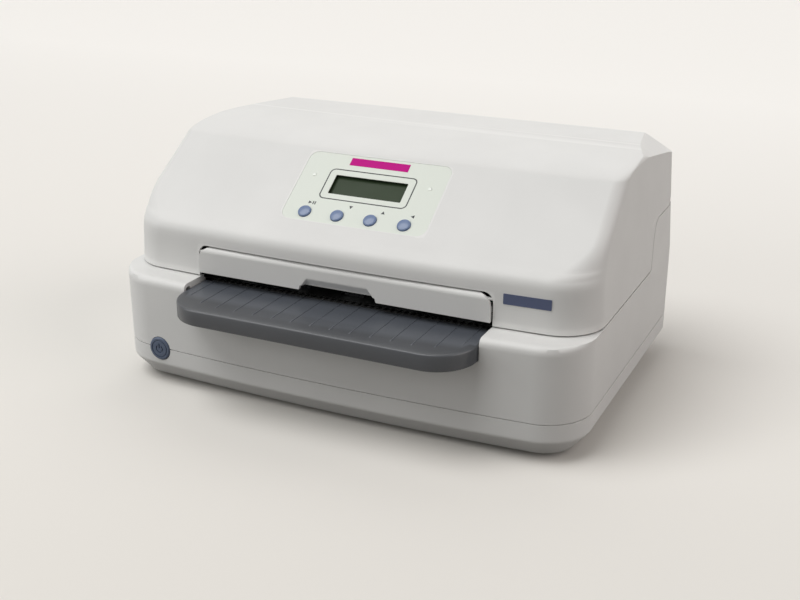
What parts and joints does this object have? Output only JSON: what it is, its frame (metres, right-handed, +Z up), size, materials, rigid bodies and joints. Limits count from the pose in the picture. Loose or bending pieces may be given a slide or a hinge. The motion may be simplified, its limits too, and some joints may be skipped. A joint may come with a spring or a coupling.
{
  "type": "dot matrix printer",
  "caption": "Flat-bed dot matrix printer with a hinged cover, front flap, document table, sloped panel with display and keys, and a moving print carriage.",
  "frame": {"origin": "centre of the bounding box on the surface that the feet stand on", "axes": "+X to the right along the paper's width, +Y from the document table to the rear wall, +Z up"},
  "size_m": [0.42, 0.3046, 0.2033],
  "materials": {
    "casing": "fine spark texture",
    "rubber": "matt",
    "screw_steel": "zinc plated",
    "table_plastic": "satin",
    "dark_plastic": "satin",
    "sheet_steel": "galvanised",
    "rod_steel": "ground and polished",
    "circuit_board": "solder mask",
    "head_metal": "black anodised",
    "brass": "turned",
    "motor_black": "semi gloss",
    "ribbon_cloth": "inked",
    "key_plastic": "satin gloss",
    "pinch_plastic": "satin",
    "gear_nylon": "natural nylon",
    "supply_case": "galvanised",
    "port_steel": "nickel plated",
    "panel_film": "printed film",
    "display_glass": "clear",
    "display_dark": "reflective liquid crystal",
    "light_lens": "clear tinted"
  },
  "bodies": {
    "base": {"bottom_pan": "casing", "rubber_feet": "rubber", "lower_case": "casing", "case_screws": "screw_steel", "document_table": "table_plastic", "table_comb": "dark_plastic", "side_frame_left": "sheet_steel", "side_frame_right": "sheet_steel", "rear_crossbar": "sheet_steel", "lower_guide": "sheet_steel", "upper_guide": "sheet_steel", "platen_beam": "sheet_steel", "platen": "rubber", "guide_rod_rear": "rod_steel", "guide_rod_front": "rod_steel", "sensor_bar": "circuit_board", "timing_belt": "dark_plastic", "belt_tensioner": "sheet_steel", "carriage_motor": "motor_black", "ribbon_cartridge": "dark_plastic", "ribbon_band": "ribbon_cloth", "shaft_bushes": "brass", "feed_motor": "motor_black", "gear_studs": "sheet_steel", "main_board": "circuit_board", "power_supply": "supply_case", "power_inlet": "dark_plastic", "usb_port": "port_steel", "parallel_port": "port_steel"},
    "carriage": {"carriage": "dark_plastic", "print_head": "head_metal"},
    "drive_pulley": {"drive_pulley": "brass"},
    "idler_pulley": {"idler_pulley": "brass"},
    "ribbon_knob": {"ribbon_knob": "key_plastic"},
    "front_feed": {"front_feed_shaft": "rod_steel", "front_feed_rollers": "rubber", "front_roller_gear": "gear_nylon"},
    "rear_feed": {"rear_feed_shaft": "rod_steel", "rear_feed_rollers": "rubber", "rear_roller_gear": "gear_nylon"},
    "front_pinch": {"front_pinch_rollers": "pinch_plastic"},
    "rear_pinch": {"rear_pinch_rollers": "pinch_plastic"},
    "motor_pinion": {"motor_pinion": "brass"},
    "front_idler": {"front_idler_gear": "gear_nylon"},
    "rear_idler": {"rear_idler_gear": "gear_nylon"},
    "power_button": {"power_button": "key_plastic"},
    "cover": {"top_cover": "casing", "hinge_pins": "screw_steel", "control_panel": "panel_film", "display_window": "display_glass", "display_module": "display_dark", "panel_board": "circuit_board", "status_lights": "light_lens"},
    "flap": {"front_flap": "casing"},
    "key_1": {"key_1": "key_plastic"},
    "key_2": {"key_2": "key_plastic"},
    "key_3": {"key_3": "key_plastic"},
    "key_4": {"key_4": "key_plastic"}
  },
  "joints": [
    {"name": "cover_hinge", "type": "hinge", "parent": "base", "child": "cover", "pos_m": [0, 0.14125, 0.15], "axis": [-1, 0, 0], "range_deg": [0, 70]},
    {"name": "flap_hinge", "type": "hinge", "parent": "cover", "child": "flap", "pos_m": [0, -0.09075, 0.1191], "axis": [-1, 0, 0], "range_deg": [0, 60]},
    {"name": "carriage_slide", "type": "slide", "parent": "base", "child": "carriage", "axis": [1, 0, 0], "range_m": [-0.119, 0.119]},
    {"name": "drive_pulley_spin", "type": "hinge", "parent": "base", "child": "drive_pulley", "pos_m": [-0.172, -0.04, 0.12], "axis": [0, 0, 1], "range_deg": [-800, 800]},
    {"name": "idler_pulley_spin", "type": "hinge", "parent": "base", "child": "idler_pulley", "pos_m": [0.137, -0.04, 0.12], "axis": [0, 0, 1], "range_deg": [-800, 800]},
    {"name": "ribbon_knob_spin", "type": "hinge", "parent": "base", "child": "ribbon_knob", "pos_m": [-0.118, 0.076, 0.12], "axis": [0, 0, 1], "continuous": true},
    {"name": "front_feed_spin", "type": "hinge", "parent": "base", "child": "front_feed", "pos_m": [0, -0.062, 0.0845], "axis": [1, 0, 0], "continuous": true},
    {"name": "rear_feed_spin", "type": "hinge", "parent": "base", "child": "rear_feed", "pos_m": [0, 0.074, 0.0845], "axis": [1, 0, 0], "continuous": true},
    {"name": "front_pinch_spin", "type": "hinge", "parent": "base", "child": "front_pinch", "pos_m": [0, -0.062, 0.09865], "axis": [1, 0, 0], "continuous": true},
    {"name": "rear_pinch_spin", "type": "hinge", "parent": "base", "child": "rear_pinch", "pos_m": [0, 0.074, 0.09865], "axis": [1, 0, 0], "continuous": true},
    {"name": "pinion_spin", "type": "hinge", "parent": "base", "child": "motor_pinion", "pos_m": [0, 0.006, 0.054], "axis": [1, 0, 0], "continuous": true},
    {"name": "front_idler_spin", "type": "hinge", "parent": "base", "child": "front_idler", "pos_m": [0, -0.02834, 0.0648], "axis": [1, 0, 0], "continuous": true},
    {"name": "rear_idler_spin", "type": "hinge", "parent": "base", "child": "rear_idler", "pos_m": [0, 0.04034, 0.0648], "axis": [1, 0, 0], "continuous": true},
    {"name": "power_button_press", "type": "slide", "parent": "base", "child": "power_button", "axis": [0, 1, 0], "range_m": [0, 0.0025], "stiffness_N_per_m": 400, "springref_m": -0.001},
    {"name": "key_1_press", "type": "slide", "parent": "cover", "child": "key_1", "axis": [0, 0.5736, -0.8192], "range_m": [0, 0.0012], "stiffness_N_per_m": 300, "springref_m": -0.001},
    {"name": "key_2_press", "type": "slide", "parent": "cover", "child": "key_2", "axis": [0, 0.5736, -0.8192], "range_m": [0, 0.0012], "stiffness_N_per_m": 300, "springref_m": -0.001},
    {"name": "key_3_press", "type": "slide", "parent": "cover", "child": "key_3", "axis": [0, 0.5736, -0.8192], "range_m": [0, 0.0012], "stiffness_N_per_m": 300, "springref_m": -0.001},
    {"name": "key_4_press", "type": "slide", "parent": "cover", "child": "key_4", "axis": [0, 0.5736, -0.8192], "range_m": [0, 0.0012], "stiffness_N_per_m": 300, "springref_m": -0.001}
  ],
  "couplings": [
    {"joint": "drive_pulley_spin", "follows": "carriage_slide", "rad_per_m": -116.28},
    {"joint": "idler_pulley_spin", "follows": "carriage_slide", "rad_per_m": -116.28},
    {"joint": "rear_feed_spin", "follows": "front_feed_spin", "ratio": 1},
    {"joint": "front_idler_spin", "follows": "front_feed_spin", "ratio": -0.44444},
    {"joint": "rear_idler_spin", "follows": "front_feed_spin", "ratio": -0.44444},
    {"joint": "pinion_spin", "follows": "front_feed_spin", "ratio": 1.3333},
    {"joint": "front_pinch_spin", "follows": "front_feed_spin", "ratio": -1.3333},
    {"joint": "rear_pinch_spin", "follows": "front_feed_spin", "ratio": -1.3333}
  ]
}
